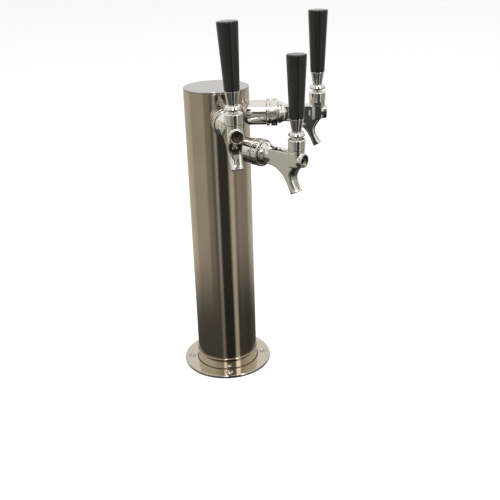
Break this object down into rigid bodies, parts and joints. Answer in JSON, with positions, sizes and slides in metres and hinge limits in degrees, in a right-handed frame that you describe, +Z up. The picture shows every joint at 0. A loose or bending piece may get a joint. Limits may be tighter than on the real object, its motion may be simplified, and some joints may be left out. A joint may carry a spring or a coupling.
{
  "type": "beer tap tower",
  "caption": "Round steel draft beer column on a screwed-down flange, with faucets on short shanks, tilting black handles and plungers that open the valves.",
  "frame": {"origin": "on the column's axis, at the underside of the base gasket, where the tower meets the worktop", "axes": "+Z up along the column; -Y the way the middle tap points; +X to the right-hand tap's side, seen from the drinker's side"},
  "size_m": [0.1699, 0.1839, 0.445],
  "materials": {
    "column_steel": "semi-polished stainless steel with faint vertical grain",
    "polished_flange_steel": "polished stainless steel",
    "chrome_plate": "mirror chrome plate",
    "fastener_steel": "plain turned stainless steel",
    "shaft_brass": "turned brass",
    "handle_plastic": "glossy black moulded plastic",
    "gasket_rubber": "matt black rubber",
    "washer_nylon": "plain white nylon",
    "insulation_foam": "closed-cell foam"
  },
  "bodies": {
    "tower": {"base_gasket": "gasket_rubber", "base_flange": "polished_flange_steel", "column": "column_steel", "top_cap": "column_steel", "insulation_sleeve": "insulation_foam", "flange_screw_1": "fastener_steel", "flange_screw_2": "fastener_steel", "flange_screw_3": "fastener_steel", "flange_screw_4": "fastener_steel", "shank_sleeve_left": "chrome_plate", "shank_left": "chrome_plate", "saddle_washer_left": "fastener_steel", "shank_nut_left": "shaft_brass", "tail_elbow_left": "fastener_steel", "coupling_nut_left": "chrome_plate", "coupling_gasket_left": "gasket_rubber", "faucet_body_left": "chrome_plate", "ball_seat_left": "washer_nylon", "ball_washer_left": "washer_nylon", "bonnet_left": "chrome_plate", "shank_sleeve_middle": "chrome_plate", "shank_middle": "chrome_plate", "saddle_washer_middle": "fastener_steel", "shank_nut_middle": "shaft_brass", "tail_elbow_middle": "fastener_steel", "coupling_nut_middle": "chrome_plate", "coupling_gasket_middle": "gasket_rubber", "faucet_body_middle": "chrome_plate", "ball_seat_middle": "washer_nylon", "ball_washer_middle": "washer_nylon", "bonnet_middle": "chrome_plate", "shank_sleeve_right": "chrome_plate", "shank_right": "chrome_plate", "saddle_washer_right": "fastener_steel", "shank_nut_right": "shaft_brass", "tail_elbow_right": "fastener_steel", "coupling_nut_right": "chrome_plate", "coupling_gasket_right": "gasket_rubber", "faucet_body_right": "chrome_plate", "ball_seat_right": "washer_nylon", "ball_washer_right": "washer_nylon", "bonnet_right": "chrome_plate"},
    "left_lever": {"lever_left": "chrome_plate", "lever_collar_left": "chrome_plate", "ferrule_left": "chrome_plate", "handle_left": "handle_plastic"},
    "left_plunger": {"faucet_shaft_left": "shaft_brass", "seat_washer_left": "gasket_rubber"},
    "middle_lever": {"lever_middle": "chrome_plate", "lever_collar_middle": "chrome_plate", "ferrule_middle": "chrome_plate", "handle_middle": "handle_plastic"},
    "middle_plunger": {"faucet_shaft_middle": "shaft_brass", "seat_washer_middle": "gasket_rubber"},
    "right_lever": {"lever_right": "chrome_plate", "lever_collar_right": "chrome_plate", "ferrule_right": "chrome_plate", "handle_right": "handle_plastic"},
    "right_plunger": {"faucet_shaft_right": "shaft_brass", "seat_washer_right": "gasket_rubber"}
  },
  "joints": [
    {"name": "left_lever_tilt", "type": "hinge", "parent": "tower", "child": "left_lever", "pos_m": [-0.07221, -0.09143, 0.34949], "axis": [0.7875, -0.6153, 0.0349], "range_deg": [0, 18]},
    {"name": "left_plunger_slide", "type": "slide", "parent": "tower", "child": "left_plunger", "axis": [0.6157, 0.788, 0], "range_m": [0, 0.0055]},
    {"name": "middle_lever_tilt", "type": "hinge", "parent": "tower", "child": "middle_lever", "pos_m": [0, -0.1165, 0.3105], "axis": [1, 0, 0], "range_deg": [0, 18]},
    {"name": "middle_plunger_slide", "type": "slide", "parent": "tower", "child": "middle_plunger", "axis": [0, 1, 0], "range_m": [0, 0.0055]},
    {"name": "right_lever_tilt", "type": "hinge", "parent": "tower", "child": "right_lever", "pos_m": [0.07172, -0.0918, 0.347], "axis": [0.788, 0.6157, 0], "range_deg": [0, 18]},
    {"name": "right_plunger_slide", "type": "slide", "parent": "tower", "child": "right_plunger", "axis": [-0.6157, 0.788, 0], "range_m": [0, 0.0055]}
  ],
  "couplings": [
    {"joint": "left_plunger_slide", "follows": "left_lever_tilt", "m_per_rad": 0.01721},
    {"joint": "middle_plunger_slide", "follows": "middle_lever_tilt", "m_per_rad": 0.01721},
    {"joint": "right_plunger_slide", "follows": "right_lever_tilt", "m_per_rad": 0.01721}
  ]
}
